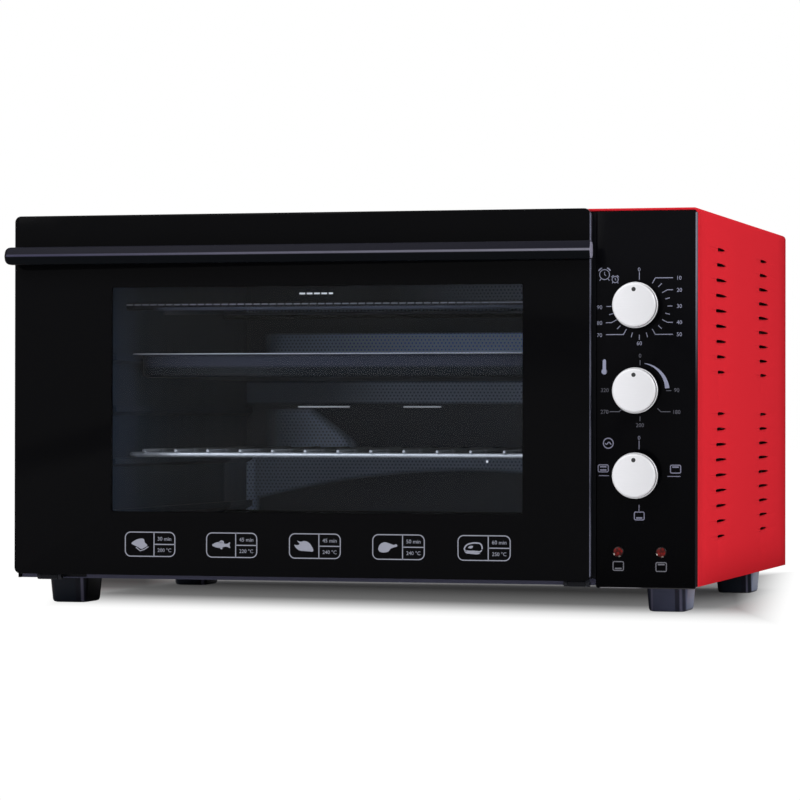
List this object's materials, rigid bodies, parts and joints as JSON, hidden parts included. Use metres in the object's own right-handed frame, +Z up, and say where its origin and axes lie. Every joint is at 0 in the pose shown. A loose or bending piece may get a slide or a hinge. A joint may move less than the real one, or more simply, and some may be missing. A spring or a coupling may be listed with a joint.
{
  "type": "mini oven",
  "caption": "Counter-top mini oven: red steel cabinet on feet, black drop-down glass door with a bar handle and a window, side control panel with knobs.",
  "frame": {"origin": "on the table top, below the middle of the whole oven's outline, handle and knobs included", "axes": "+X to the viewer's right along the width, +Y towards the oven's back, +Z up; the door and the panel face -Y"},
  "size_m": [0.5776, 0.4662, 0.322],
  "materials": {
    "red_enamel": "satin red enamel",
    "black_steel": "black painted steel",
    "zinc_steel": "zinc plated steel",
    "cavity_steel": "aluminised steel with an embossed dot pattern",
    "black_plastic": "moulded black plastic",
    "panel_gloss": "glossy black with pale printing",
    "handle_gloss": "satin black with a bright ridge",
    "door_glass": "black backed glass with a clear window",
    "clear_glass": "clear heat-proof glass",
    "chrome": "bright chrome",
    "enamel": "black vitreous enamel",
    "heater_steel": "heat-darkened steel",
    "knob_silver": "spun satin silver face",
    "bakelite": "cream phenolic",
    "seal_fibre": "braided glass fibre",
    "red_lens": "faceted red lens",
    "wire_sleeve": "glass fibre sleeve"
  },
  "bodies": {
    "cabinet": {"outer_shell": "red_enamel", "base_pan": "black_steel", "rear_panel": "zinc_steel", "front_frame": "black_steel", "foot_front_left": "black_plastic", "foot_front_right": "black_plastic", "foot_rear_left": "black_plastic", "foot_rear_right": "black_plastic", "cavity_left_wall": "cavity_steel", "cavity_right_wall": "cavity_steel", "cavity_floor": "cavity_steel", "cavity_ceiling": "cavity_steel", "cavity_back": "cavity_steel", "upper_heater_front": "heater_steel", "upper_heater_rear": "heater_steel", "lower_heater_front": "heater_steel", "lower_heater_rear": "heater_steel", "thermostat_sensor": "zinc_steel", "heat_shield": "zinc_steel", "door_seal": "seal_fibre", "hinge_bracket_left": "black_steel", "hinge_bracket_right": "black_steel", "hinge_pin_left": "zinc_steel", "hinge_pin_right": "zinc_steel", "hinge_glide_left": "black_plastic", "hinge_glide_right": "black_plastic", "control_panel": "panel_gloss", "timer_body": "bakelite", "thermostat_body": "bakelite", "function_switch_body": "bakelite", "lamp_left": "red_lens", "lamp_right": "red_lens", "cord_gland": "black_plastic", "terminal_block": "bakelite", "wiring_harness": "wire_sleeve", "rear_screw_lower_left": "zinc_steel", "rear_screw_lower_right": "zinc_steel", "rear_screw_upper_left": "zinc_steel", "rear_screw_upper_right": "zinc_steel"},
    "door": {"door_outer_glass": "door_glass", "door_frame": "black_steel", "door_inner_frame": "black_steel", "door_inner_glass": "clear_glass", "door_handle": "handle_gloss", "handle_post_left": "black_plastic", "handle_post_right": "black_plastic", "handle_screw_left": "zinc_steel", "handle_screw_right": "zinc_steel", "hinge_arm_left": "zinc_steel", "hinge_arm_right": "zinc_steel"},
    "timer": {"timer_knob": "knob_silver", "timer_spindle": "zinc_steel"},
    "thermostat": {"thermostat_knob": "knob_silver", "thermostat_spindle": "zinc_steel"},
    "function": {"function_switch_knob": "knob_silver", "function_switch_spindle": "zinc_steel"},
    "rack": {"wire_rack": "chrome"},
    "tray": {"baking_tray": "enamel"}
  },
  "joints": [
    {"name": "door_hinge", "type": "hinge", "parent": "cabinet", "child": "door", "pos_m": [-0.0412, -0.20815, 0.0238], "axis": [1, 0, 0], "range_deg": [0, 88]},
    {"name": "timer_turn", "type": "hinge", "parent": "cabinet", "child": "timer", "pos_m": [0.2406, -0.20695, 0.2445], "axis": [0, 1, 0], "range_deg": [0, 270]},
    {"name": "thermostat_turn", "type": "hinge", "parent": "cabinet", "child": "thermostat", "pos_m": [0.2406, -0.20695, 0.177], "axis": [0, 1, 0], "range_deg": [0, 270]},
    {"name": "function_turn", "type": "hinge", "parent": "cabinet", "child": "function", "pos_m": [0.2406, -0.20695, 0.1098], "axis": [0, 1, 0], "range_deg": [0, 270]},
    {"name": "rack_slide", "type": "slide", "parent": "cabinet", "child": "rack", "axis": [0, -1, 0], "range_m": [0, 0.2]},
    {"name": "tray_slide", "type": "slide", "parent": "cabinet", "child": "tray", "axis": [0, -1, 0], "range_m": [0, 0.2]}
  ],
  "couplings": [
    {"joint": "rack_slide", "follows": "door_hinge", "m_per_rad": 0.13},
    {"joint": "tray_slide", "follows": "door_hinge", "m_per_rad": 0.13}
  ]
}
